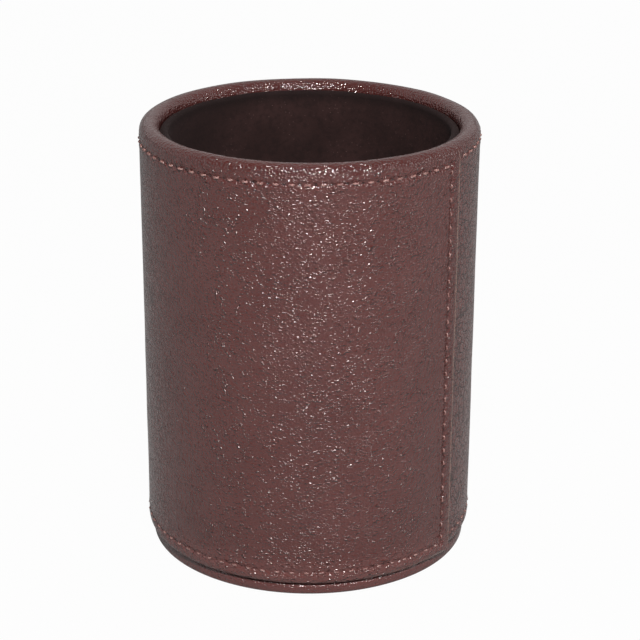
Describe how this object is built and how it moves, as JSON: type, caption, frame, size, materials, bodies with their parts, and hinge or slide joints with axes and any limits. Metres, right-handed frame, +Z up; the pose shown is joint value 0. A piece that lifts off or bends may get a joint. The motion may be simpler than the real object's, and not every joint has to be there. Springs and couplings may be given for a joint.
{
  "type": "pen cup",
  "caption": "Round upright pen cup in brown grained leather with a rolled rim, a stitched lap seam, a suede lining and a leather-covered foot.",
  "frame": {"origin": "middle of the flat underside", "axes": "+Z up along the cup's axis, -Y towards the front, +X to the right, with the lap seam at the front right"},
  "size_m": [0.076, 0.076, 0.1],
  "materials": {
    "outer_wrap": "grained, soft sheen",
    "base_cover": "grained, soft sheen",
    "rim_stitching": "waxed thread",
    "hem_stitching": "waxed thread",
    "seam_stitching": "waxed thread",
    "lining_suede": "napped suede",
    "floor_suede": "napped suede",
    "base_pad": "napped suede",
    "core_tube": "matt wound board",
    "tube_floor": "matt board",
    "base_board": "matt board",
    "lining_card": "matt card",
    "floor_card": "matt card"
  },
  "bodies": {
    "root": {"outer_wrap": "outer_wrap", "base_cover": "base_cover", "rim_stitching": "rim_stitching", "hem_stitching": "hem_stitching", "seam_stitching": "seam_stitching", "lining_suede": "lining_suede", "floor_suede": "floor_suede", "base_pad": "base_pad", "core_tube": "core_tube", "tube_floor": "tube_floor", "base_board": "base_board", "lining_card": "lining_card", "floor_card": "floor_card"}
  },
  "joints": []
}
